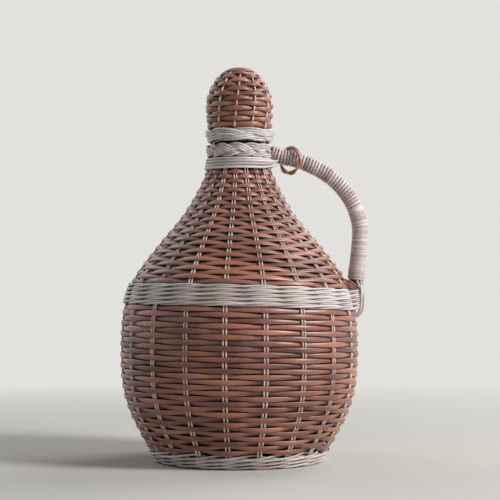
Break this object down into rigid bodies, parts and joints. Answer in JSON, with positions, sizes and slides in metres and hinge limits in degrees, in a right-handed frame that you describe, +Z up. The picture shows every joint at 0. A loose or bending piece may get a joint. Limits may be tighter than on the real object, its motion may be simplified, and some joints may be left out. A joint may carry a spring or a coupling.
{
  "type": "wicker demijohn",
  "caption": "Round glass bottle in a woven cane jacket with pale bands, a cane-wound side handle with a loose ring, and a cork stopper under a domed woven cap.",
  "frame": {"origin": "middle of the flat underside of the woven base, on the bottle's axis", "axes": "+Z up along the bottle's axis, +X towards the handle, the pictured side faces -Y"},
  "size_m": [0.1855, 0.1789, 0.2934],
  "materials": {
    "bottle_glass": "clear green",
    "brown_cane": "split cane, satin",
    "pale_cane": "peeled cane, satin",
    "tan_cane": "cane, satin",
    "cork": "cork, matt"
  },
  "bodies": {
    "bottle": {"glass_bottle": "bottle_glass", "woven_base": "brown_cane", "foot_wale_1": "pale_cane", "foot_wale_2": "pale_cane", "lower_weaver": "brown_cane", "mid_wale_1": "pale_cane", "mid_wale_2": "pale_cane", "mid_wale_3": "pale_cane", "upper_weaver": "brown_cane", "neck_binding": "pale_cane", "neck_plait_1": "pale_cane", "neck_plait_2": "pale_cane", "neck_plait_3": "pale_cane", "stake_pair_01": "pale_cane", "stake_pair_02": "pale_cane", "stake_pair_03": "pale_cane", "stake_pair_04": "pale_cane", "stake_pair_05": "pale_cane", "stake_pair_06": "pale_cane", "stake_pair_07": "pale_cane", "stake_pair_08": "pale_cane", "stake_pair_09": "pale_cane", "stake_pair_10": "pale_cane", "stake_pair_11": "pale_cane", "stake_pair_12": "pale_cane", "stake_pair_13": "pale_cane", "stake_pair_14": "pale_cane", "stake_pair_15": "pale_cane", "stake_pair_16": "pale_cane", "stake_pair_17": "pale_cane", "stake_pair_18": "pale_cane", "stake_pair_19": "pale_cane", "handle_core": "brown_cane", "handle_winding": "pale_cane", "handle_lashing": "pale_cane"},
    "stopper": {"cork_stopper": "cork", "cap_weaver": "brown_cane", "cap_stake_01": "pale_cane", "cap_stake_02": "pale_cane", "cap_stake_03": "pale_cane", "cap_stake_04": "pale_cane", "cap_stake_05": "pale_cane", "cap_stake_06": "pale_cane", "cap_stake_07": "pale_cane", "cap_stake_08": "pale_cane", "cap_stake_09": "pale_cane", "cap_stake_10": "pale_cane", "cap_stake_11": "pale_cane", "cap_plait_1": "pale_cane", "cap_plait_2": "pale_cane", "cap_plait_3": "pale_cane"},
    "ring": {"handle_ring": "tan_cane"}
  },
  "joints": [
    {"name": "stopper_lift", "type": "slide", "parent": "bottle", "child": "stopper", "axis": [0, 0, 1], "range_m": [0, 0.07]},
    {"name": "ring_swing", "type": "hinge", "parent": "bottle", "child": "ring", "pos_m": [0.03821, 0, 0.22578], "axis": [0.9838, 0, -0.1793], "range_deg": [-75, 75]}
  ]
}
